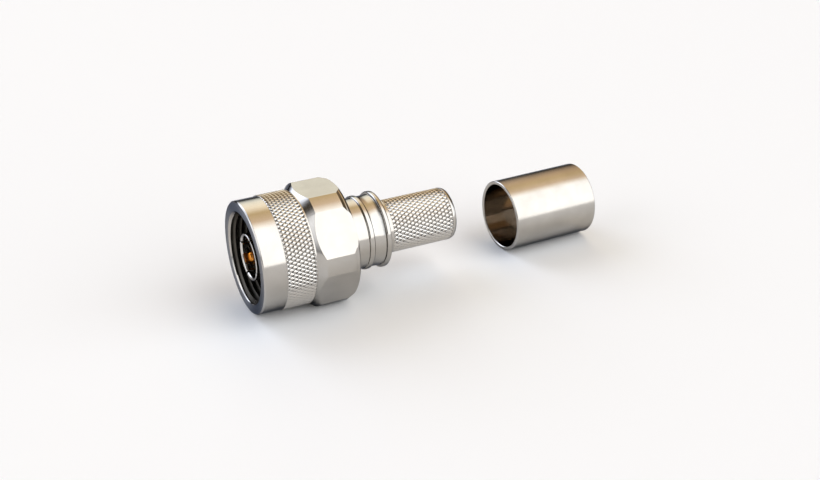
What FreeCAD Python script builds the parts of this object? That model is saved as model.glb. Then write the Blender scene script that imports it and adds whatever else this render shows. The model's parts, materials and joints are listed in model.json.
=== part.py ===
"""Type N coaxial cable plug, crimp pattern, with its crimp ferrule lying behind it.

Millimetres. The plug's axis is X and points from the mating face to the cable. The origin is on
that axis at the reference plane, which is the front end of the outer contact. Z is up. The plug
lies on a flat of its coupling nut's hexagon, and the ferrule lies on the same surface.
"""
import FreeCAD, Part
import math
import os

# Mating interface, 50 ohm, with a 5/8-24 coupling thread
outer_contact_d = 8.10
outer_contact_bore_d = 7.00
outer_contact_root_d = 8.80
outer_contact_free_length = 8.20
slot_count = 4
slot_width = 0.40
slot_length = 4.00
first_slot_angle = 23.3
contact_mouth_chamfer = 0.20
pin_d = 1.65
pin_recess = 0.10
pin_tip_length = 0.70
pin_tip_d = 0.70
shoulder_recess = 5.33
contact_d = 3.04
thread_minor_d = 14.83
thread_major_d = 15.88
thread_length = 6.60

# Coupling nut
across_flats = 20.00
turned_corner_d = 21.50
rim_overhang = 0.70
rim_edge = 0.22
plain_band_d = 19.50
plain_band_length = 4.05
knurl_d = 19.80
knurl_edge = 0.20
knurl_length = 5.10
neck_d = 19.20
neck_length = 0.30
front_cone_length = 1.20
rear_cone_d = 20.90
rear_cone_length = 0.60
rear_face_d = 19.40
rear_edge_length = 0.70
nut_length = 16.90
nut_lead_in = 0.30

# Plug body
gasket_face_recess = 8.75
gasket_thickness = 1.40
gasket_d = 14.60
hub_d = 15.40
front_wall = 1.20
body_bore_d = 9.90
tail_d = 12.45
front_bead_d = 12.95
front_bead_width = 1.05
front_bead_gap = 3.35
rear_bead_d = 13.40
rear_bead_width = 0.95
rear_bead_gap = 2.05
bead_edge = 0.30

# Snap ring that holds the nut on the body
ring_offset = 2.55
ring_width = 0.90
ring_inner_d = 14.00
ring_outer_d = 16.20
ring_gap_angle = 24.0

# Insulators and centre contact
contact_flange_length = 1.00
insulator_spigot_length = 3.15
front_disc_length = 3.00
rear_disc_length = 4.00
barrel_d = 4.10
barrel_overhang = 2.15
socket_d = 2.40
socket_depth = 6.00

# Crimp stem and ferrule
collar_length = 1.20
stem_d = 9.35
stem_length = 12.25
stem_bore_d = 7.40
cable_stop_d = 6.40
cable_stop_gap = 0.20
stem_end_length = 0.80
stem_end_drop = 0.42
ferrule_d = 12.90
ferrule_wall = 0.65
ferrule_length = 16.60
ferrule_edge = 0.12
ferrule_gap = 11.60
ferrule_side = 0.95
ferrule_yaw = 1.5

# Clearances
running_clearance = 0.05
nut_float = 0.20
rear_face_step = 0.05
mouth_clearance = 0.05
relief_clearance = 0.13
ring_side_clearance = 0.10
ring_radial_clearance = 0.15
press_clearance = 0.01
gasket_clearance = 0.02

# Stations along the axis, from the reference plane at zero
rim_x = -rim_overhang
knurl_x = rim_x + plain_band_length
neck_x = knurl_x + knurl_length
hex_x = neck_x + neck_length
nut_rear_x = rim_x + nut_length
seat_x = gasket_face_recess + gasket_thickness
nut_shoulder_x = seat_x - nut_float
hub_rear_x = nut_rear_x - rear_face_step
front_bead_x = hub_rear_x + front_bead_gap
rear_bead_x = front_bead_x + front_bead_width + rear_bead_gap
body_rear_x = rear_bead_x + rear_bead_width
flange_x = seat_x + front_wall
front_disc_x = flange_x + contact_flange_length
rear_disc_x = front_disc_x + front_disc_length
stem_front_x = rear_disc_x + rear_disc_length
knurled_stem_x = body_rear_x + collar_length
stem_rear_x = knurled_stem_x + stem_length
barrel_rear_x = stem_front_x + barrel_overhang
cable_stop_x = barrel_rear_x + cable_stop_gap
ring_x = seat_x + ring_offset

# Diameters that follow from others
mouth_d = thread_major_d + 2 * mouth_clearance
relief_d = thread_major_d + 2 * relief_clearance
nut_bore_d = hub_d + 2 * running_clearance
pressed_d = body_bore_d - 2 * press_clearance

ORIGIN = FreeCAD.Vector(0, 0, 0)
AXIS = FreeCAD.Vector(1, 0, 0)


def at(x, radius):
    """A point of a turned outline, drawn in the plane above the axis."""
    return FreeCAD.Vector(x, 0, radius)


def turned(start, *steps):
    """Turn a closed outline about the axis.

    Each step is the next (x, radius) point, or a pair of points for an arc through the first.
    A step that goes nowhere is left out, as where two neighbouring radii are the same.
    """
    edges = []
    here = at(*start)
    for step in steps + (start,):
        curved = isinstance(step[0], tuple)
        there = at(*step[1]) if curved else at(*step)
        if there.isEqual(here, 1e-6):
            continue
        if curved:
            edges.append(Part.Arc(here, at(*step[0]), there).toShape())
        else:
            edges.append(Part.LineSegment(here, there).toShape())
        here = there
    return Part.Face(Part.Wire(edges)).revolve(ORIGIN, AXIS, 360)


def tube(x0, x1, outer_d, inner_d):
    """A plain tube between two stations."""
    return turned((x0, inner_d / 2), (x0, outer_d / 2), (x1, outer_d / 2), (x1, inner_d / 2))


def rod(x0, x1, d):
    """A plain rod between two stations."""
    return Part.makeCylinder(d / 2, x1 - x0, at(x0, 0), AXIS)


def hexagon(x0, x1):
    """A hexagonal bar with one flat facing down."""
    corner_d = across_flats / math.cos(math.radians(30))
    corners = []
    for index in range(6):
        angle = math.radians(60 * index)
        y = corner_d / 2 * math.cos(angle)
        z = corner_d / 2 * math.sin(angle)
        corners.append(FreeCAD.Vector(x0, y, z))
    face = Part.Face(Part.makePolygon(corners + corners[:1]))
    return face.extrude(AXIS * (x1 - x0))


def nut_band():
    """The round front of the nut: a plain band, a knurled band and a neck."""
    return turned(
        (rim_x, 0),
        (rim_x, plain_band_d / 2 - rim_edge),
        (rim_x + rim_edge, plain_band_d / 2),
        (knurl_x, plain_band_d / 2),
        (knurl_x + knurl_edge, knurl_d / 2),
        (neck_x - knurl_edge, knurl_d / 2),
        (neck_x, knurl_d / 2 - knurl_edge),
        (neck_x, neck_d / 2),
        (hex_x, neck_d / 2),
        (hex_x, 0),
    )


def nut_hexagon():
    """The hexagonal rear of the nut: turned corners, a cone in front and a rounded edge behind."""
    edge_drop = (rear_cone_d - rear_face_d) / 2
    edge_x = nut_rear_x - rear_edge_length
    bend = (edge_x + 0.62 * rear_edge_length, rear_cone_d / 2 - 0.38 * edge_drop)
    blank = turned(
        (hex_x, 0),
        (hex_x, neck_d / 2),
        (hex_x + front_cone_length, turned_corner_d / 2),
        (edge_x - rear_cone_length, turned_corner_d / 2),
        (edge_x, rear_cone_d / 2),
        (bend, (nut_rear_x, rear_face_d / 2)),
        (nut_rear_x, 0),
    )
    return blank.common(hexagon(hex_x, nut_rear_x))


def nut_inside():
    """Countersunk thread bore, relief, running bore on the hub and the snap ring's groove."""
    countersink = (mouth_d - thread_minor_d) / 2
    thread_end_x = rim_x + countersink + thread_length
    run_out = (relief_d - thread_minor_d) / 2
    bore = turned(
        (rim_x, 0),
        (rim_x, mouth_d / 2),
        (rim_x + countersink, thread_minor_d / 2),
        (thread_end_x, thread_minor_d / 2),
        (thread_end_x + run_out, relief_d / 2),
        (nut_shoulder_x, relief_d / 2),
        (nut_shoulder_x, nut_bore_d / 2),
        (nut_rear_x - nut_lead_in, nut_bore_d / 2),
        (nut_rear_x, nut_bore_d / 2 + nut_lead_in),
        (nut_rear_x, 0),
    )
    groove = rod(
        ring_x - 1.5 * ring_side_clearance,
        ring_x + ring_width + 1.5 * ring_side_clearance,
        ring_outer_d + 2 * ring_radial_clearance,
    )
    return bore.fuse(groove)


def coupling_nut():
    """Union nut: turned and knurled in front, hexagonal behind, threaded inside."""
    return nut_band().fuse(nut_hexagon()).cut(nut_inside())


def retaining_ring():
    """Open snap ring, sprung into the body's groove and the nut's groove."""
    ring = tube(ring_x, ring_x + ring_width, ring_outer_d, ring_inner_d)
    cut_r = ring_outer_d
    corners = [at(ring_x - ring_width, 0)]
    for side in (-1, 1):
        angle = math.radians(side * ring_gap_angle / 2)
        corner = FreeCAD.Vector(ring_x - ring_width, cut_r * math.sin(angle), cut_r * math.cos(angle))
        corners.append(corner)
    opening = Part.Face(Part.makePolygon(corners + corners[:1])).extrude(AXIS * (3 * ring_width))
    return ring.cut(opening)


def mating_gasket():
    """Flat silicone washer that the other half's front end presses on."""
    inner_d = outer_contact_root_d + 2 * gasket_clearance
    return tube(gasket_face_recess, seat_x, gasket_d, inner_d)


def bead(x0, width, d):
    """Outline of one rounded ring that stands proud of the tail."""
    return [
        (x0, d / 2 - bead_edge),
        ((x0 + 0.3 * bead_edge, d / 2 - 0.3 * bead_edge), (x0 + bead_edge, d / 2)),
        (x0 + width - bead_edge, d / 2),
        ((x0 + width - 0.3 * bead_edge, d / 2 - 0.3 * bead_edge), (x0 + width, d / 2 - bead_edge)),
    ]


def plug_body():
    """Turned hub that the nut runs on, with a beaded tail behind it."""
    outline = [(seat_x, hub_d / 2), (hub_rear_x, hub_d / 2), (hub_rear_x, tail_d / 2)]
    outline.append((front_bead_x, tail_d / 2))
    outline += bead(front_bead_x, front_bead_width, front_bead_d)
    outline.append((front_bead_x + front_bead_width, tail_d / 2))
    outline.append((rear_bead_x, tail_d / 2))
    outline += bead(rear_bead_x, rear_bead_width, rear_bead_d)
    outline.append((body_rear_x, 0))
    solid = turned((seat_x, 0), *outline)
    front_hole = rod(seat_x, flange_x, outer_contact_root_d + 2 * press_clearance)
    bore = rod(flange_x, body_rear_x, body_bore_d)
    groove = tube(
        ring_x - ring_side_clearance / 2,
        ring_x + ring_width + ring_side_clearance / 2,
        hub_d,
        ring_inner_d - 2 * ring_radial_clearance,
    )
    return solid.cut(front_hole).cut(bore).cut(groove)


def outer_contact():
    """Slotted outer contact sleeve with a thicker root and a flange that the body traps."""
    sleeve = turned(
        (0, outer_contact_bore_d / 2 + contact_mouth_chamfer),
        (0, outer_contact_d / 2),
        (outer_contact_free_length, outer_contact_d / 2),
        (outer_contact_free_length, outer_contact_root_d / 2),
        (flange_x, outer_contact_root_d / 2),
        (flange_x, pressed_d / 2),
        (front_disc_x, pressed_d / 2),
        (front_disc_x, outer_contact_bore_d / 2),
        (contact_mouth_chamfer, outer_contact_bore_d / 2),
    )
    for index in range(slot_count):
        slot = Part.makeBox(slot_length, slot_width, outer_contact_d, at(0, 0))
        slot.translate(FreeCAD.Vector(0, -slot_width / 2, 0))
        slot.rotate(ORIGIN, AXIS, first_slot_angle + 360 / slot_count * index)
        sleeve = sleeve.cut(slot)
    return sleeve


def front_insulator():
    """Stepped bead of PTFE: its spigot sits in the outer contact, its disc in the body."""
    spigot_d = outer_contact_bore_d - 2 * press_clearance
    hole_d = contact_d + 2 * press_clearance
    spigot = tube(front_disc_x - insulator_spigot_length, front_disc_x, spigot_d, hole_d)
    return spigot.fuse(tube(front_disc_x, rear_disc_x, pressed_d, hole_d)).removeSplitter()


def rear_insulator():
    """PTFE bush round the centre contact's barrel."""
    return tube(rear_disc_x, stem_front_x, pressed_d, barrel_d + 2 * press_clearance)


def centre_contact():
    """Pin with a rounded tip, shoulder and barrel, drilled behind for the cable's conductor."""
    tip_x = pin_recess
    bend = (pin_tip_d / 2 + 0.75 * (pin_d - pin_tip_d) / 2, tip_x + 0.45 * pin_tip_length)
    solid = turned(
        (tip_x, 0),
        (tip_x, pin_tip_d / 2),
        ((bend[1], bend[0]), (tip_x + pin_tip_length, pin_d / 2)),
        (shoulder_recess, pin_d / 2),
        (shoulder_recess, contact_d / 2),
        (rear_disc_x, contact_d / 2),
        (rear_disc_x, barrel_d / 2),
        (barrel_rear_x, barrel_d / 2),
        (barrel_rear_x, 0),
    )
    return solid.cut(rod(barrel_rear_x - socket_depth, barrel_rear_x, socket_d))


def crimp_stem():
    """Tube pressed into the tail: the cable stops at a step in its bore, and the braid goes round it."""
    bend_x = stem_rear_x - 0.3 * stem_end_length
    return turned(
        (stem_front_x, cable_stop_d / 2),
        (stem_front_x, pressed_d / 2),
        (knurled_stem_x, pressed_d / 2),
        (knurled_stem_x, stem_d / 2),
        (stem_rear_x - stem_end_length, stem_d / 2),
        ((bend_x, stem_d / 2 - 0.35 * stem_end_drop), (stem_rear_x, stem_d / 2 - stem_end_drop)),
        (stem_rear_x, stem_bore_d / 2),
        (cable_stop_x, stem_bore_d / 2),
        (cable_stop_x, cable_stop_d / 2),
    )


def crimp_ferrule():
    """Plain drawn tube that lies loose behind the stem, on the surface that the nut rests on."""
    outer_r = ferrule_d / 2
    inner_r = outer_r - ferrule_wall
    ring = turned(
        (0, inner_r + ferrule_edge),
        (0, outer_r - ferrule_edge),
        (ferrule_edge, outer_r),
        (ferrule_length - ferrule_edge, outer_r),
        (ferrule_length, outer_r - ferrule_edge),
        (ferrule_length, inner_r + ferrule_edge),
        (ferrule_length - ferrule_edge, inner_r),
        (ferrule_edge, inner_r),
    )
    height = (ferrule_d - across_flats) / 2
    ring.rotate(ORIGIN, FreeCAD.Vector(0, 0, 1), ferrule_yaw)
    ring.translate(FreeCAD.Vector(stem_rear_x + ferrule_gap, ferrule_side, height))
    return ring


PIECES = (
    coupling_nut,
    retaining_ring,
    mating_gasket,
    plug_body,
    outer_contact,
    front_insulator,
    rear_insulator,
    centre_contact,
    crimp_stem,
    crimp_ferrule,
)

os.makedirs("parts", exist_ok=True)
for piece in PIECES:
    shape = piece()
    shape.exportStep("parts/" + piece.__name__ + ".step")
    box = shape.BoundBox
    print(piece.__name__, len(shape.Solids), shape.isValid(), round(shape.Volume, 2),
          [round(v, 2) for v in (box.XMin, box.XMax, box.YMin, box.YMax, box.ZMin, box.ZMax)])
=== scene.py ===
"""Type N crimp plug with its loose ferrule: finished surfaces, knurls, thread, floor and light.

Lengths are in millimetres and turned to metres where a mesh is written. The plug's axis is X.
"""
import json
import math

import bmesh
import bpy
from mathutils import Matrix, Vector


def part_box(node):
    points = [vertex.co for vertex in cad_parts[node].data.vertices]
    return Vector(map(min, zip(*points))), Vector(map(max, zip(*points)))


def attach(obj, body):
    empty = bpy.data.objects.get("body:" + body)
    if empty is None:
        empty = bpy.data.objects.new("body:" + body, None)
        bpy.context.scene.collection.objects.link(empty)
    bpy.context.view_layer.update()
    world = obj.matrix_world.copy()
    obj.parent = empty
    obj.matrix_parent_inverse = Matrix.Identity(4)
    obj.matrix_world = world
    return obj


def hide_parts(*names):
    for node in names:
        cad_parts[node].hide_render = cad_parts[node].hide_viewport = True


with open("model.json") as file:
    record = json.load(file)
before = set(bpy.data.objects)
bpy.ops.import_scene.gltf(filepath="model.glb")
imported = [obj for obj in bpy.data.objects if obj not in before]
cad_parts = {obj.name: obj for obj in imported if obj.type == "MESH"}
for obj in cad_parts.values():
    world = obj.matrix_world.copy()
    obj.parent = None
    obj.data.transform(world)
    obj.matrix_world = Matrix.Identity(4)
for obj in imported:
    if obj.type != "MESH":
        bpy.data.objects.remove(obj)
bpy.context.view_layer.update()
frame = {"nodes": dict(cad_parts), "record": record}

MM = 0.001
# In metres: two points nearer than SAME_POINT are one, and a point nearer than ON_CUT lies on a cut.
SAME_POINT = 1e-7
ON_CUT = 1e-8
# In millimetres: a face whose middle is nearer than this to a surface belongs to it.
ON_FACE = 0.01


def span(node):
    """Lowest and highest corner of a CAD node, in millimetres."""
    low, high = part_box(node)
    return [v / MM for v in low], [v / MM for v in high]


mount_dims = {mount["name"]: mount["dims"] for mount in frame["record"]["mounts"]}

# Coupling nut
nut_low, nut_high = span("coupling_nut")
rim_x = nut_low[0]
nut_rear_x = nut_high[0]
apothem = -nut_low[2]
turned_corner_r = nut_high[1]
plain_band_r = 9.75
rim_edge = 0.22
knurl_x = 3.35
knurl_r = 9.90
knurl_end_x = 8.45
hex_x = 8.75
neck_r = 9.60
front_cone_length = 1.20
rear_cone_r = 10.45
rear_cone_length = 0.60
rear_face_r = 9.70
rear_edge_length = 0.70
mouth_r = 7.99
thread_crest_r = 7.415
thread_root_r = 7.94
thread_length = 6.60
thread_pitch = 25.4 / 24
relief_r = 8.07
shoulder_x = 9.95
nut_bore_r = 7.75
nut_bore_chamfer = 0.30
nut_broken_edge = 0.06
# Where the hexagon's flats run into its cones the edges are this shallow, in degrees.
shallow_edge = 14
nut_knurl_teeth = 84
nut_knurl_depth = 0.12
nut_knurl_chamfer = 0.12
# How far the knurls and the thread, which are rings of their own, reach into what carries them.
seat_depth = 0.10
ring_overlap = 0.20
# The thread starts this far behind the rim's face.
thread_inset = 0.02

# Plug body
body_low, body_high = span("plug_body")
hub_r = 7.70
hub_recess = 0.05
tail_r = 6.225
front_bead_x = 19.50
front_bead_width = 1.05
front_bead_r = 6.475
rear_bead_x = 22.60
rear_bead_r = 6.70
bead_edge = 0.30
body_bore_r = 4.95
body_broken_edge = 0.05

# Contacts
sleeve_r = mount_dims["outer_contact_sleeve"]["r_mm"]
sleeve_length = mount_dims["outer_contact_sleeve"]["length_mm"]
sleeve_bore_r = 3.50
sleeve_root_r = 4.40
sleeve_slot_width = 0.40
sleeve_slot_length = 4.00
first_slot_angle = 23.3
pin_r = mount_dims["contact_pin"]["r_mm"]
pin_tip_x = 0.10
pin_tip_r = 0.35
pin_tip_length = 0.70
pin_shoulder_x = 5.33
contact_r = 1.52
pin_broken_edge = 0.03
socket_r = mount_dims["conductor_socket"]["r_mm"]
socket_depth = mount_dims["conductor_socket"]["length_mm"]
socket_tube_r = 2.05
finger_count = 4
finger_chamfer = 0.20
finger_broken_edge = 0.18
finger_overlap = 0.05
root_collar_x = 11.35
root_end_x = 12.35

# Front insulator and gasket
insulator_x = 9.20
insulator_end_x = 15.35
gasket_gap = 0.02
gasket_broken_edge = 0.12

# Crimp stem
stem_low, stem_high = span("crimp_stem")
stem_r = mount_dims["crimp_stem_outside"]["r_mm"]
stem_bore_r = mount_dims["cable_bore"]["r_mm"]
collar_r = 4.94
knurled_stem_x = 24.75
stem_knurl_teeth = 38
stem_knurl_depth = 0.125
stem_knurl_chamfer = 0.06
stem_seat_depth = 0.32
stem_broken_edge = 0.04
stem_end_length = 0.80
stem_end_drop = 0.42
cable_stop_x = 21.70
cable_stop_r = 3.20

# Loose ferrule, which lies turned a little about the vertical
ferrule_low, _ = span("crimp_ferrule")
ferrule_r = 6.45
ferrule_bore_r = mount_dims["ferrule_bore"]["r_mm"]
ferrule_length = 16.60
ferrule_x = 48.60
ferrule_side = 0.95
ferrule_yaw = math.radians(1.5)
ferrule_chamfer = 0.12
ferrule_broken_edge = 0.03

floor_z = ferrule_low[2]

# Steps of a quarter round on the stem's end and the pin's tip.
ROUND_STEPS = 6


# Mesh making

def new_piece(name, bm, material, body, replaced, sharp_angle=28):
    """Write a bmesh to an object with smooth shading, and tie it to its body."""
    bmesh.ops.recalc_face_normals(bm, faces=bm.faces)
    mesh = bpy.data.meshes.new(name)
    bm.to_mesh(mesh)
    bm.free()
    for polygon in mesh.polygons:
        polygon.use_smooth = True
    mesh.set_sharp_from_angle(angle=math.radians(sharp_angle))
    obj = bpy.data.objects.new(name, mesh)
    bpy.context.collection.objects.link(obj)
    obj.data.materials.append(material)
    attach(obj, body)
    for node in replaced:
        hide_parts(node)
    return obj


def rounded_edges(obj, width, segments=2, sharper_than=24):
    """Break the sharp edges of a machined piece by a small radius."""
    bevel = obj.modifiers.new("broken_edges", "BEVEL")
    bevel.width = width * MM
    bevel.segments = segments
    bevel.limit_method = "ANGLE"
    bevel.angle_limit = math.radians(sharper_than)
    bevel.use_clamp_overlap = True
    normals = obj.modifiers.new("face_normals", "WEIGHTED_NORMAL")
    normals.keep_sharp = False


def arc(centre, radius, start, stop, steps):
    """Points of a circular arc in the plane of an outline, angles in degrees."""
    points = []
    for step in range(steps + 1):
        angle = math.radians(start + (stop - start) * step / steps)
        points.append((centre[0] + radius * math.cos(angle), centre[1] + radius * math.sin(angle)))
    return points


def even_columns(around, first=0.0, last=360.0):
    """Angles in degrees at even steps: a whole turn, or an arc with both its ends."""
    count = around if last - first >= 360 else around + 1
    return [first + (last - first) * index / around for index in range(count)]


def turned(rows, columns=even_columns(192), full=True):
    """Turn a closed outline about X, with a column of points at each angle.

    A row is an (x, radius) pair, or a function that gives that pair for an angle in degrees.
    A turn that isn't full gets a flat face at each end.
    """
    bm = bmesh.new()
    count = len(columns)
    rings = []
    for row in rows:
        ring = []
        for degrees in columns:
            x, radius = row(degrees) if callable(row) else row
            angle = math.radians(degrees)
            ring.append(bm.verts.new(Vector((x, radius * math.cos(angle), radius * math.sin(angle))) * MM))
        rings.append(ring)
    for ring, following in zip(rings, rings[1:] + rings[:1]):
        for index in range(count if full else count - 1):
            after = (index + 1) % count
            bm.faces.new((ring[index], ring[after], following[after], following[index]))
    if not full:
        for index in (0, count - 1):
            bm.faces.new([ring[index] for ring in rings])
    bmesh.ops.remove_doubles(bm, verts=bm.verts, dist=SAME_POINT)
    bmesh.ops.dissolve_degenerate(bm, edges=bm.edges, dist=ON_CUT)
    return bm


def hexagon_columns():
    """Column angles with one on each line where a flat meets a turned corner, a flat facing down."""
    half_flat = math.degrees(math.acos(apothem / turned_corner_r))
    columns_on_flat = 36
    columns_on_corner = 14
    columns = []
    for index in range(6):
        middle = 30 + 60 * index
        columns += even_columns(columns_on_flat, middle - half_flat, middle + half_flat)[:-1]
        columns += even_columns(columns_on_corner, middle + half_flat, middle + 60 - half_flat)[:-1]
    return columns


def hexagon_rows():
    """Rows of the hexagonal part, from its front cone to its rear face.

    The blank is turned: a cone in front, round corners, a cone and a rounded edge behind. The
    flats are cut into it, and a row lies along each line where they meet a turned surface.
    """
    edge_x = nut_rear_x - rear_edge_length
    front_slope = (turned_corner_r - neck_r) / front_cone_length
    rear_slope = (turned_corner_r - rear_cone_r) / rear_cone_length
    edge_drop = rear_cone_r - rear_face_r
    edge_steps = 8

    def flat_radius(degrees):
        return min(turned_corner_r, apothem / math.cos(math.radians((degrees % 60) - 30)))

    def front_cut(degrees):
        radius = flat_radius(degrees)
        return hex_x + (radius - neck_r) / front_slope, radius

    def rear_cut(degrees):
        radius = flat_radius(degrees)
        if radius >= rear_cone_r:
            return edge_x - (radius - rear_cone_r) / rear_slope, radius
        share = math.sqrt(1 - ((radius - rear_face_r) / edge_drop) ** 2)
        return edge_x + rear_edge_length * share, radius

    def edge_row(turn):
        def row(degrees):
            start, radius = rear_cut(degrees)
            x = edge_x + rear_edge_length * math.sin(math.radians(turn))
            if x <= start:
                return start, radius
            return x, rear_face_r + edge_drop * math.cos(math.radians(turn))
        return row

    return [front_cut, rear_cut] + [edge_row(90 * step / edge_steps) for step in range(edge_steps + 1)]


# A knurl's diamond: its top, crown and feet, each as a share of its width and of its depth.
DIAMOND = ((0.28, 0.0), (0.64, 0.30), (1.0, 1.0))
# The lines between the diamonds run at this angle to the axis.
KNURL_ANGLE = math.radians(30)


def knurled_ring(x0, x1, radius, inner_r, count, depth, end_chamfer):
    """Closed ring with a diamond knurl pressed into its outside.

    A diamond has a flat top, a soft crown and steep feet. The lattice has a row of diamonds at the
    ring's middle, so both ends are cut alike.
    """
    bm = bmesh.new()
    middle = (x0 + x1) / 2
    half_turn = math.pi / count
    half_row = radius * half_turn / math.tan(KNURL_ANGLE)
    reach = math.ceil((x1 - x0) / 2 / half_row) + 1
    points = {}

    def point(i, j, r):
        key = (round(i % (2 * count), 3), round(j, 3), r)
        if key not in points:
            angle = i * half_turn
            place = Vector((middle + j * half_row, r * math.cos(angle), r * math.sin(angle)))
            points[key] = bm.verts.new(place * MM)
        return points[key]

    for j in range(-reach, reach + 1):
        for i in range(2 * count):
            if (i + j) % 2 == 0:
                continue
            sides = ((1, 0), (0, 1), (-1, 0), (0, -1))
            outlines = [[point(i + share * di, j + share * dj, radius - drop * depth) for di, dj in sides]
                        for share, drop in DIAMOND]
            bm.faces.new(outlines[0])
            for upper, lower in zip(outlines, outlines[1:]):
                for k in range(4):
                    m = (k + 1) % 4
                    bm.faces.new((lower[k], lower[m], upper[m], upper[k]))
    for x, outward in ((x0, -1), (x1, 1)):
        geometry = bm.verts[:] + bm.edges[:] + bm.faces[:]
        chamfer_x = x - outward * end_chamfer
        bmesh.ops.bisect_plane(bm, geom=geometry, dist=ON_CUT, plane_co=(chamfer_x * MM, 0, 0),
                               plane_no=(outward, 0, 0))
        geometry = bm.verts[:] + bm.edges[:] + bm.faces[:]
        bmesh.ops.bisect_plane(bm, geom=geometry, dist=ON_CUT, plane_co=(x * MM, 0, 0),
                               plane_no=(outward, 0, 0), clear_outer=True)
    rims = []
    for x in (x0, x1):
        rim = [v for v in bm.verts if abs(v.co.x - x * MM) < SAME_POINT]
        rim.sort(key=lambda v: math.atan2(v.co.z, v.co.y))
        for v in rim:
            r = math.hypot(v.co.y, v.co.z)
            limited = min(r, (radius - end_chamfer) * MM)
            v.co.y *= limited / r
            v.co.z *= limited / r
        rims.append(rim)
    inner = []
    for rim in rims:
        ring = []
        for v in rim:
            r = math.hypot(v.co.y, v.co.z)
            ring.append(bm.verts.new((v.co.x, v.co.y * inner_r * MM / r, v.co.z * inner_r * MM / r)))
        inner.append(ring)
    size = len(rims[0])
    for k in range(size):
        m = (k + 1) % size
        bm.faces.new((rims[0][k], rims[0][m], inner[0][m], inner[0][k]))
        bm.faces.new((rims[1][k], rims[1][m], inner[1][m], inner[1][k]))
        bm.faces.new((inner[0][k], inner[0][m], inner[1][m], inner[1][k]))
    return bm


# One turn of a thread, from crest to root and back: shares of the pitch and of the depth.
THREAD_TURN = ((0.0, 0.0), (0.16, 0.0), (0.46, 1.0), (0.62, 1.0), (1.0, 0.0))


def thread_ring(x0, x1, crest_r, root_r, outer_r, pitch, mouth, around=144):
    """Closed ring with a single-start right-hand thread cut in its bore, and a 45 degree countersink."""
    bm = bmesh.new()
    profile = []
    for (share, deep), (next_share, next_deep) in zip(THREAD_TURN, THREAD_TURN[1:]):
        for third in (0.0, 0.33, 0.67):
            profile.append((share + third * (next_share - share),
                            crest_r + (root_r - crest_r) * (deep + third * (next_deep - deep))))
    turns = math.ceil((x1 - x0) / pitch) + 2
    columns = []
    for index in range(around + 1):
        angle = 2 * math.pi * index / around
        column = []
        for turn in range(-1, turns):
            for share, r in profile:
                x = x0 + pitch * (turn + share + index / around)
                r = max(r, mouth - (x - x0))
                column.append(bm.verts.new(Vector((x, r * math.cos(angle), r * math.sin(angle))) * MM))
        columns.append(column)
    for left, right in zip(columns, columns[1:]):
        for k in range(len(left) - 1):
            bm.faces.new((left[k], left[k + 1], right[k + 1], right[k]))
    bmesh.ops.remove_doubles(bm, verts=bm.verts, dist=SAME_POINT)
    for x, outward in ((x0, -1), (x1, 1)):
        geometry = bm.verts[:] + bm.edges[:] + bm.faces[:]
        bmesh.ops.bisect_plane(bm, geom=geometry, dist=ON_CUT, plane_co=(x * MM, 0, 0),
                               plane_no=(outward, 0, 0), clear_outer=True)
    rings = []
    for x in (x0, x1):
        rim = [e for e in bm.edges if e.is_boundary and abs(e.verts[0].co.x - x * MM) < SAME_POINT]
        grown = bmesh.ops.extrude_edge_only(bm, edges=rim)["geom"]
        edges = [g for g in grown if isinstance(g, bmesh.types.BMEdge)]
        for v in [g for g in grown if isinstance(g, bmesh.types.BMVert)]:
            r = math.hypot(v.co.y, v.co.z)
            v.co.y *= outer_r * MM / r
            v.co.z *= outer_r * MM / r
        rings += edges
    bmesh.ops.bridge_loops(bm, edges=rings)
    return bm


# Materials

# Cloudy stains in the plate are some millimetres wide. Tool lines are about 0.05 mm apart on the
# real piece. One pixel covers 0.17 mm here, so lines and grain are drawn 0.12 to 0.30 mm apart.
STAIN_MM = 4.5
GRAIN_MM = 0.17
# Uneven colour in plastic and rubber.
CLOUD_MM = 2.0
# A drawn tube's lines are scaled by this along the tube, which makes long streaks of them.
DRAWN_OUT = 0.03


def linear(code):
    """An sRGB hex colour as linear red, green, blue and alpha."""
    values = []
    for start in (0, 2, 4):
        v = int(code[start:start + 2], 16) / 255
        values.append(v / 12.92 if v <= 0.04045 else ((v + 0.055) / 1.055) ** 2.4)
    return values + [1.0]


def add(tree, kind, settings=None, **links):
    """Add a node, set its properties and sockets, and link its inputs to other nodes' outputs."""
    node = tree.nodes.new(kind)
    for name, value in (settings or {}).items():
        if isinstance(name, str) and hasattr(node, name):
            setattr(node, name, value)
        else:
            node.inputs[name].default_value = value
    for name, source in links.items():
        socket = node.inputs[int(name[1:])] if name[1:].isdigit() else node.inputs[name.replace("_", " ")]
        tree.links.new(source, socket)
    return node


def set_stops(node, stops):
    """Give a colour ramp its stops, each a place from 0 to 1 and a linear colour."""
    elements = node.color_ramp.elements
    while len(elements) < len(stops):
        elements.new(0.5)
    for element, (place, colour) in zip(elements, stops):
        element.position = place
        element.color = colour


def new_material(name):
    """An empty node material with a shader and its tree."""
    material = bpy.data.materials.new(name)
    material.use_nodes = True
    tree = material.node_tree
    shader = tree.nodes["Principled BSDF"]
    return material, tree, shader


def turning_coordinates(tree):
    """The place in millimetres, and its position along the axis with its distance from the axis."""
    place = add(tree, "ShaderNodeTexCoord")
    scaled = add(tree, "ShaderNodeVectorMath", {"operation": "SCALE", "Scale": 1 / MM},
                 i0=place.outputs["Object"])
    parts = add(tree, "ShaderNodeSeparateXYZ", i0=scaled.outputs[0])
    flat = add(tree, "ShaderNodeCombineXYZ", Y=parts.outputs["Y"], Z=parts.outputs["Z"])
    radius = add(tree, "ShaderNodeVectorMath", {"operation": "LENGTH"}, i0=flat.outputs[0])
    both = add(tree, "ShaderNodeCombineXYZ", X=parts.outputs["X"], Y=radius.outputs["Value"])
    return scaled.outputs[0], both.outputs[0]


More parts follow.
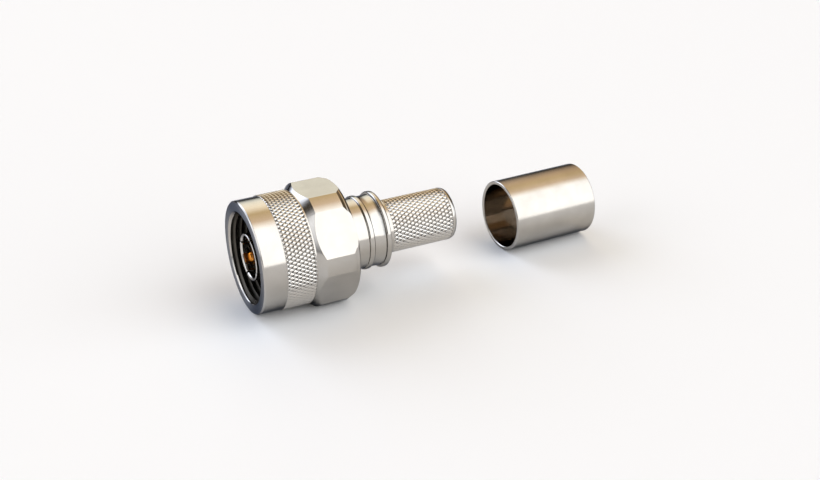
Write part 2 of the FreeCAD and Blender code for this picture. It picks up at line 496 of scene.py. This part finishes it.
def plated(name, light, dark, roughness, groove_mm, groove_depth, drawn=False, faced=0.0):
    """Plated metal that was turned, or drawn as a tube: fine tool lines, faint cloudy stains.

    A faced end is rougher across its rings of tool marks than along them.
    """
    material, tree, shader = new_material(name)
    place, turning = turning_coordinates(tree)
    if drawn:
        stretched = add(tree, "ShaderNodeVectorMath", {"operation": "MULTIPLY", 1: (DRAWN_OUT, 1.0, 1.0)},
                        i0=place)
        lines_at = stretched.outputs[0]
    else:
        lines_at = turning
    lines = add(tree, "ShaderNodeTexNoise", {"Scale": 1 / groove_mm, "Detail": 3.0, "Roughness": 0.6},
                Vector=lines_at)
    stains = add(tree, "ShaderNodeTexNoise", {"Scale": 1 / STAIN_MM, "Detail": 4.0, "Roughness": 0.55},
                 Vector=place)
    grain = add(tree, "ShaderNodeTexNoise", {"Scale": 1 / GRAIN_MM, "Detail": 3.0, "Roughness": 0.6},
                Vector=place)
    colour = add(tree, "ShaderNodeValToRGB", Fac=stains.outputs["Fac"])
    set_stops(colour, ((0.38, linear(dark)), (0.62, linear(light))))
    blend = add(tree, "ShaderNodeMath", {"operation": "ADD"}, i0=lines.outputs["Fac"],
                i1=grain.outputs["Fac"])
    rough = add(tree, "ShaderNodeMapRange", {"From Min": 0.6, "From Max": 1.4, "To Min": 0.7 * roughness,
                                             "To Max": 1.35 * roughness}, Value=blend.outputs[0])
    bump = add(tree, "ShaderNodeBump", {"Strength": 1.0, "Distance": groove_depth * MM},
               Height=lines.outputs["Fac"])
    shader.inputs["Metallic"].default_value = 1.0
    # Seen at a flat angle, the plate stays a cool grey and doesn't turn white.
    shader.inputs["Specular Tint"].default_value = linear("6C727F")
    tree.links.new(colour.outputs["Color"], shader.inputs["Base Color"])
    tree.links.new(rough.outputs[0], shader.inputs["Roughness"])
    tree.links.new(bump.outputs[0], shader.inputs["Normal"])
    if faced:
        rings = add(tree, "ShaderNodeTangent", {"direction_type": "RADIAL", "axis": "X"})
        shader.inputs["Anisotropic"].default_value = faced
        shader.inputs["Anisotropic Rotation"].default_value = 0.25
        tree.links.new(rings.outputs[0], shader.inputs["Tangent"])
    return material


def moulded(name, light, dark, roughness, grain_mm, depth, sheen_ior=1.45):
    """Plastic or rubber with a soft uneven colour and a fine grain."""
    material, tree, shader = new_material(name)
    place, _ = turning_coordinates(tree)
    clouds = add(tree, "ShaderNodeTexNoise", {"Scale": 1 / CLOUD_MM, "Detail": 3.0}, Vector=place)
    grain = add(tree, "ShaderNodeTexNoise", {"Scale": 1 / grain_mm, "Detail": 2.0}, Vector=place)
    colour = add(tree, "ShaderNodeValToRGB", Fac=clouds.outputs["Fac"])
    set_stops(colour, ((0.0, linear(dark)), (1.0, linear(light))))
    bump = add(tree, "ShaderNodeBump", {"Strength": 1.0, "Distance": depth * MM},
               Height=grain.outputs["Fac"])
    shader.inputs["Roughness"].default_value = roughness
    shader.inputs["IOR"].default_value = sheen_ior
    tree.links.new(colour.outputs["Color"], shader.inputs["Base Color"])
    tree.links.new(bump.outputs[0], shader.inputs["Normal"])
    return material


# Bright nickel over turned brass: a grey mirror, blurred a little by its tool lines.
nickel_turned = plated("nickel_plate_turned", "B8B4AE", "B2AEA8", roughness=0.13,
                       groove_mm=0.16, groove_depth=0.0008)
# The same plate on pressed diamonds: painted paler as a highlight where the diamonds catch light, and a
# little softer.
nickel_knurled_painted_highlight = plated("nickel_plate_knurled_painted_highlight", "C6C2BC", "C0BCB6", roughness=0.16,
                        groove_mm=0.30, groove_depth=0.0008)
# Nickel over drawn copper tube: its lines run along the tube, and borders in it are soft.
nickel_drawn = plated("nickel_plate_drawn", "B8B4AE", "B0ACA6", roughness=0.19,
                      groove_mm=0.20, groove_depth=0.0008, drawn=True)
# Nickel on a faced end: rings of tool marks spread the light across them, so it looks satin; its darker,
# cooler grey is painted shade.
nickel_faced_painted_shade = plated("nickel_plate_faced_painted_shade", "A0A1A4", "98999C", roughness=0.30,
                      groove_mm=0.12, groove_depth=0.0010, faced=0.9)
# Nickel deep in the thread: dull, and painted dark as shade in the grooves.
nickel_thread_painted_shade = plated("nickel_plate_thread_painted_shade", "5A564F", "4E4A44", roughness=0.38,
                         groove_mm=0.20, groove_depth=0.0010)
# Inside of the tube, drawn over a mandrel: smooth, and painted darker and warmer than the outside as shade
# inside the tube.
nickel_bore_painted_shade = plated("nickel_plate_bore_painted_shade", "ACA298", "989084", roughness=0.09,
                     groove_mm=0.20, groove_depth=0.0004, drawn=True)
# White bronze: a harder and whiter plate than nickel, with a bright edge on each finger.
contact_plate = plated("white_bronze_plate", "D6D2CC", "CCC8C2", roughness=0.12,
                       groove_mm=0.20, groove_depth=0.0008)
# Gold over brass, painted a deeper, darker orange yellow than bare gold, as shade from the nut.
gold_plate_painted_shade = plated("gold_plate_painted_shade", "D48C3E", "BC742C", roughness=0.28,
                    groove_mm=0.20, groove_depth=0.0008)
# Phosphor bronze strip, not plated: brown and satin.
spring_bronze = plated("phosphor_bronze", "B98D57", "8F6A3F", roughness=0.3,
                       groove_mm=0.2, groove_depth=0.001)
# PTFE: white, waxy, with a weak sheen from its low index of refraction.
ptfe = moulded("ptfe_turned", "E8E6DF", "DAD7CE", roughness=0.42,
               grain_mm=0.15, depth=0.002, sheen_ior=1.35)
# Silicone rubber: matt brick red.
silicone = moulded("silicone_moulded", "8A3A28", "6E2C1E", roughness=0.55,
                   grain_mm=0.10, depth=0.002, sheen_ior=1.41)


# Coupling nut

knurl_seat_r = knurl_r - nut_knurl_depth - seat_depth
thread_start_x = rim_x + (mouth_r - thread_crest_r)
thread_end_x = thread_start_x + thread_length
nut_rows = [
    (rim_x, mouth_r),
    (rim_x, plain_band_r - rim_edge),
    (rim_x + rim_edge, plain_band_r),
    (knurl_x, plain_band_r),
    (knurl_x, knurl_seat_r),
    (knurl_end_x, knurl_seat_r),
    (knurl_end_x, neck_r),
    (hex_x, neck_r),
]
nut_rows += hexagon_rows()
nut_rows += [
    (nut_rear_x, nut_bore_r + nut_bore_chamfer),
    (nut_rear_x - nut_bore_chamfer, nut_bore_r),
    (shoulder_x, nut_bore_r),
    (shoulder_x, relief_r),
    (thread_end_x, relief_r),
    (thread_end_x - seat_depth, mouth_r),
]
nut_shell = new_piece("nut_shell", turned(nut_rows, hexagon_columns()), nickel_turned, "coupling_nut",
                      ["coupling_nut"], sharp_angle=shallow_edge)
rounded_edges(nut_shell, nut_broken_edge, sharper_than=shallow_edge)
nut_shell.data.materials.append(nickel_faced_painted_shade)
nut_shell.data.materials.append(nickel_thread_painted_shade)
# The rim is faced, with its painted shade, and the relief behind the thread gets the thread's dull plate
# and painted shade.
for face in nut_shell.data.polygons:
    from_axis = math.hypot(face.center.y, face.center.z)
    if face.center.x < (rim_x + ON_FACE) * MM:
        face.material_index = 1
    elif from_axis < (relief_r + ON_FACE) * MM and face.center.x < (shoulder_x + ON_FACE) * MM:
        face.material_index = 2
# The knurl's plate is painted paler as a highlight.
new_piece(
    "nut_knurl",
    knurled_ring(knurl_x, knurl_end_x, knurl_r, knurl_seat_r - ring_overlap, nut_knurl_teeth,
                 nut_knurl_depth, nut_knurl_chamfer),
    nickel_knurled_painted_highlight, "coupling_nut", ["coupling_nut"], sharp_angle=20)
thread_front_x = rim_x + thread_inset
# The thread's plate is painted dark as shade in its grooves.
nut_thread = new_piece(
    "nut_thread",
    thread_ring(thread_front_x, thread_end_x, thread_crest_r, thread_root_r, mouth_r + ring_overlap,
                thread_pitch, mouth_r),
    nickel_thread_painted_shade, "coupling_nut", ["coupling_nut"])
nut_thread.data.materials.append(nickel_turned)
# The countersink's cone in front of the thread keeps the plain plate, without the thread's painted shade.
cone_band = 0.012
for face in nut_thread.data.polygons:
    cone_r = mouth_r * MM - (face.center.x - thread_front_x * MM)
    if abs(math.hypot(face.center.y, face.center.z) - cone_r) < cone_band * MM:
        face.material_index = 1

# Plug body

body_rear_x = body_high[0]
hub_rear_x = nut_rear_x - hub_recess


def bead_rows(x0, x1, radius):
    """A rounded ring that stands proud of the tail."""
    centre_r = radius - bead_edge
    foot = math.degrees(math.asin(max(0.0, tail_r - centre_r) / bead_edge))
    rows = arc((x0 + bead_edge, centre_r), bead_edge, 180 - foot, 90, 6)
    rows += arc((x1 - bead_edge, centre_r), bead_edge, 90, foot, 6)
    return rows


body_rows = [(body_low[0], body_bore_r), (body_low[0], hub_r), (hub_rear_x, hub_r), (hub_rear_x, tail_r)]
body_rows += bead_rows(front_bead_x, front_bead_x + front_bead_width, front_bead_r)
body_rows.append((rear_bead_x, tail_r))
body_rows += bead_rows(rear_bead_x, body_rear_x, rear_bead_r)
body_rows.append((body_rear_x, body_bore_r))
body_shell = new_piece("body_shell", turned(body_rows), nickel_turned, "plug", ["plug_body"])
rounded_edges(body_shell, body_broken_edge)

# Crimp stem

stem_rear_x = stem_high[0]
stem_seat_r = stem_r - stem_seat_depth
stem_end_x = stem_rear_x - stem_end_length
stem_rows = [
    (stem_low[0], cable_stop_r),
    (stem_low[0], collar_r),
    (knurled_stem_x, collar_r),
    (knurled_stem_x, stem_seat_r),
    (stem_end_x, stem_seat_r),
    (stem_end_x, stem_r),
]
for step in range(1, ROUND_STEPS + 1):
    turn = step / ROUND_STEPS * math.pi / 2
    stem_rows.append((stem_end_x + stem_end_length * math.sin(turn),
                      stem_r - stem_end_drop * (1 - math.cos(turn))))
stem_rows += [(stem_rear_x, stem_bore_r), (cable_stop_x, stem_bore_r), (cable_stop_x, cable_stop_r)]
stem_tube = new_piece("stem_tube", turned(stem_rows), nickel_turned, "plug", ["crimp_stem"])
rounded_edges(stem_tube, stem_broken_edge)
# The stem's knurl has the same painted highlight.
new_piece(
    "stem_knurl",
    knurled_ring(knurled_stem_x, stem_end_x, stem_r, stem_seat_r - ring_overlap, stem_knurl_teeth,
                 stem_knurl_depth, stem_knurl_chamfer),
    nickel_knurled_painted_highlight, "plug", ["crimp_stem"], sharp_angle=20)

# Contacts and insulators

gap_angle = math.degrees(sleeve_slot_width / sleeve_r)
finger_rows = [
    (finger_chamfer, sleeve_bore_r),
    (0.0, sleeve_bore_r + finger_chamfer),
    (0.0, sleeve_r),
    (sleeve_slot_length + finger_overlap, sleeve_r),
    (sleeve_slot_length + finger_overlap, sleeve_bore_r),
]
finger_step = 360 / finger_count
for number in range(finger_count):
    start = 90 + first_slot_angle + finger_step * number
    finger_angles = even_columns(40, start + gap_angle / 2, start + finger_step - gap_angle / 2)
    finger = new_piece(
        "contact_finger_%d" % (number + 1),
        turned(finger_rows, finger_angles, full=False),
        contact_plate, "plug", ["outer_contact"])
    rounded_edges(finger, finger_broken_edge, 3)
root_rows = [
    (sleeve_slot_length, sleeve_bore_r),
    (sleeve_slot_length, sleeve_r),
    (sleeve_length, sleeve_r),
    (sleeve_length, sleeve_root_r),
    (root_collar_x, sleeve_root_r),
    (root_collar_x, collar_r),
    (root_end_x, collar_r),
    (root_end_x, sleeve_bore_r),
]
new_piece("contact_root", turned(root_rows), contact_plate, "plug", ["outer_contact"])

_, pin_high = span("centre_contact")
pin_rows = [(pin_tip_x, 0.0)]
for step in range(ROUND_STEPS + 1):
    turn = step / ROUND_STEPS * math.pi / 2
    pin_rows.append((pin_tip_x + pin_tip_length * (1 - math.cos(turn)),
                     pin_tip_r + (pin_r - pin_tip_r) * math.sin(turn)))
pin_rows += [
    (pin_shoulder_x, pin_r),
    (pin_shoulder_x, contact_r),
    (insulator_end_x, contact_r),
    (insulator_end_x, socket_tube_r),
    (pin_high[0], socket_tube_r),
    (pin_high[0], socket_r),
    (pin_high[0] - socket_depth, socket_r),
    (pin_high[0] - socket_depth, 0.0),
]
# The pin's gold is painted darker as shade from the nut.
contact_pin = new_piece("contact_pin", turned(pin_rows, even_columns(72)), gold_plate_painted_shade, "plug",
                        ["centre_contact"])
rounded_edges(contact_pin, pin_broken_edge)

insulator_rows = [
    (insulator_x, contact_r),
    (insulator_x, sleeve_bore_r),
    (root_end_x, sleeve_bore_r),
    (root_end_x, collar_r),
    (insulator_end_x, collar_r),
    (insulator_end_x, contact_r),
]
new_piece("insulator_bead", turned(insulator_rows, even_columns(96)), ptfe, "plug", ["front_insulator"])
gasket_low, gasket_high = span("mating_gasket")
gasket_rows = [
    (gasket_low[0], sleeve_root_r + gasket_gap),
    (gasket_low[0], gasket_high[1]),
    (gasket_high[0], gasket_high[1]),
    (gasket_high[0], sleeve_root_r + gasket_gap),
]
gasket_washer = new_piece("gasket_washer", turned(gasket_rows), silicone, "plug", ["mating_gasket"])
rounded_edges(gasket_washer, gasket_broken_edge, 3)
# Both are shut inside the plug, so their solids stay and only get their material.
for node, material in (("retaining_ring", spring_bronze), ("rear_insulator", ptfe)):
    frame["nodes"][node].data.materials.clear()
    frame["nodes"][node].data.materials.append(material)

# Loose ferrule

ferrule_rows = [
    (0, ferrule_bore_r + ferrule_chamfer),
    (0, ferrule_r - ferrule_chamfer),
    (ferrule_chamfer, ferrule_r),
    (ferrule_length - ferrule_chamfer, ferrule_r),
    (ferrule_length, ferrule_r - ferrule_chamfer),
    (ferrule_length, ferrule_bore_r + ferrule_chamfer),
    (ferrule_length - ferrule_chamfer, ferrule_bore_r),
    (ferrule_chamfer, ferrule_bore_r),
]
tube = turned(ferrule_rows)
lie = Matrix.Translation(Vector((ferrule_x, ferrule_side, floor_z + ferrule_r)) * MM) @ Matrix.Rotation(
    ferrule_yaw, 4, "Z")
bmesh.ops.transform(tube, matrix=lie, verts=tube.verts)
ferrule_tube = new_piece("ferrule_tube", tube, nickel_drawn, "plug", ["crimp_ferrule"])
ferrule_tube.data.materials.append(nickel_bore_painted_shade)
inward = lie.inverted()
# Its bore is smoother than its outside, and painted darker and warmer as shade.
for face in ferrule_tube.data.polygons:
    spot = inward @ face.center
    if math.hypot(spot.y, spot.z) < (ferrule_bore_r + ON_FACE) * MM:
        face.material_index = 1
rounded_edges(ferrule_tube, ferrule_broken_edge)


# Floor, light and camera

def light_stops(low, high, rows):
    """Stops of a ramp that runs from low to high, from rows of place, colour and light level."""
    stops = []
    for place, code, level in rows:
        stops.append(((place - low) / (high - low), [level * v for v in linear(code)[:3]] + [1.0]))
    return stops


def studio_world():
    """Soft light cards round the plug: white in front, a warm ceiling, and a key behind on the left.

    A card has its levels by the angle round the plug's axis, 0 straight up and 90 towards the
    camera's side, and by the direction's share along the axis, -1 in front of the plug's mouth.
    """
    world = bpy.data.worlds.new("soft_studio")
    world.use_nodes = True
    tree = world.node_tree
    tree.nodes.clear()
    place = add(tree, "ShaderNodeTexCoord")
    parts = add(tree, "ShaderNodeSeparateXYZ", i0=place.outputs["Generated"])
    towards = add(tree, "ShaderNodeMath", {"operation": "MULTIPLY", 1: -1.0}, i0=parts.outputs["Y"])
    angle = add(tree, "ShaderNodeMath", {"operation": "ARCTAN2"}, i0=towards.outputs[0],
                i1=parts.outputs["Z"])
    round_x = add(tree, "ShaderNodeMapRange", {"From Min": -math.pi, "From Max": math.pi},
                  Value=angle.outputs[0])
    along_x = add(tree, "ShaderNodeMapRange", {"From Min": -1.0, "From Max": 1.0}, Value=parts.outputs["X"])
    cards = (
        # Warm ceiling that turns into the white card in front.
        ((
            (-100, "FFE4C8", 0.20),
            (-80, "FFE4C8", 0.22),
            (-63, "FFDBB6", 0.82),
            (-43, "FFDAAD", 1.06),
            (-23, "FFE0AA", 1.10),
            (-3, "FFE2BF", 1.30),
            (6, "FFF4E6", 1.9),
            (15, "FFFFFF", 2.4),
            (88, "FFFFFF", 2.4),
            (98, "FFFFFF", 0.3),
        ), (
            (0.06, "FFFFFF", 0.06),
            (0.20, "FFFFFF", 1.0),
            (0.56, "FFFFFF", 1.0),
            (0.66, "FFFFFF", 0.5),
            (0.80, "FFFFFF", 0.15),
        )),
        # Pale card high behind, for the nut's top flat.
        ((
            (-84, "F7FFF4", 0.0),
            (-74, "F7FFF4", 2.1),
            (-65, "F7FFF4", 1.82),
            (-42, "F7FFF4", 1.0),
            (-24, "F7FFF4", 0.0),
        ), (
            (0.00, "FFFFFF", 0.0),
            (0.10, "FFFFFF", 1.0),
            (0.36, "FFFFFF", 1.0),
            (0.44, "FFFFFF", 0.0),
        )),
        # Key behind on the left, for the edges and cones that face that way.
        ((
            (-82, "E4EDFF", 0.0),
            (-74, "E4EDFF", 4.0),
            (-46, "E4EDFF", 4.0),
            (-24, "E4EDFF", 0.0),
        ), (
            (-0.90, "FFFFFF", 0.3),
            (-0.60, "FFFFFF", 0.5),
            (-0.45, "FFFFFF", 1.0),
            (-0.10, "FFFFFF", 1.0),
            (0.02, "FFFFFF", 0.0),
        )),
        # Card before the plug's mouth.
        ((
            (-50, "F6F9FF", 0.0),
            (-40, "F6F9FF", 1.8),
            (20, "F6F9FF", 1.8),
            (60, "F6F9FF", 1.2),
            (94, "F6F9FF", 0.0),
        ), (
            (-0.98, "FFFFFF", 1.0),
            (-0.77, "FFFFFF", 1.0),
            (-0.69, "FFFFFF", 0.0),
        )),
        # Fill in front, on both sides of the white card.
        ((
            (12, "F0F7FF", 0.0),
            (36, "F0F7FF", 1.7),
            (90, "F0F7FF", 1.7),
            (100, "F0F7FF", 0.0),
        ), (
            (-0.06, "FFFFFF", 0.0),
            (0.04, "FFFFFF", 1.0),
            (0.12, "FFFFFF", 0.8),
            (0.20, "FFFFFF", 0.0),
            (0.56, "FFFFFF", 0.0),
            (0.66, "FFFFFF", 1.0),
            (0.96, "FFFFFF", 1.0),
        )),
    )
    shades = []
    for by_angle, by_x in cards:
        angle_ramp = add(tree, "ShaderNodeValToRGB", Fac=round_x.outputs[0])
        set_stops(angle_ramp, light_stops(-180, 180, by_angle))
        x_ramp = add(tree, "ShaderNodeValToRGB", Fac=along_x.outputs[0])
        set_stops(x_ramp, light_stops(-1, 1, by_x))
        shades.append(add(tree, "ShaderNodeVectorMath", {"operation": "MULTIPLY"},
                          i0=angle_ramp.outputs["Color"], i1=x_ramp.outputs["Color"]))
    total = shades[0]
    for shade in shades[1:]:
        total = add(tree, "ShaderNodeVectorMath", {"operation": "ADD"}, i0=total.outputs[0],
                    i1=shade.outputs[0])
    background = add(tree, "ShaderNodeBackground", {"Strength": 1.0}, Color=total.outputs[0])
    output = add(tree, "ShaderNodeOutputWorld")
    tree.links.new(background.outputs[0], output.inputs["Surface"])
    bpy.context.scene.world = world


def floor_plane():
    """Plain pale paper floor under the object, 6 m wide."""
    bm = bmesh.new()
    reach = 3.0
    corners = [(-reach, -reach), (reach, -reach), (reach, reach), (-reach, reach)]
    bm.faces.new([bm.verts.new((x, y, floor_z * MM)) for x, y in corners])
    mesh = bpy.data.meshes.new("floor")
    bm.to_mesh(mesh)
    bm.free()
    floor = bpy.data.objects.new("floor", mesh)
    bpy.context.collection.objects.link(floor)
    material, tree, shader = new_material("floor_paper")
    shader.inputs["Base Color"].default_value = linear("F2F2F2")
    shader.inputs["Roughness"].default_value = 0.9
    shader.inputs["Specular IOR Level"].default_value = 0.1
    mesh.materials.append(material)


def camera():
    """The photograph's viewpoint, fitted to the plug's outlines."""
    place = Vector((-58.41, -188.83, 92.76)) * MM
    right = Vector((0.8990, -0.4368, -0.0320))
    up = Vector((0.2097, 0.3653, 0.9070))
    back = right.cross(up).normalized()
    up = back.cross(right).normalized()
    right.normalize()
    data = bpy.data.cameras.new("camera")
    data.sensor_width = 36.0
    data.lens = 57.07
    data.clip_start = 0.01
    data.clip_end = 20.0
    eye = bpy.data.objects.new("camera", data)
    bpy.context.collection.objects.link(eye)
    turn = Matrix((right, up, back)).transposed().to_4x4()
    eye.matrix_world = Matrix.Translation(place) @ turn
    bpy.context.scene.camera = eye


studio_world()
floor_plane()
camera()
bpy.context.scene.view_settings.view_transform = "Standard"
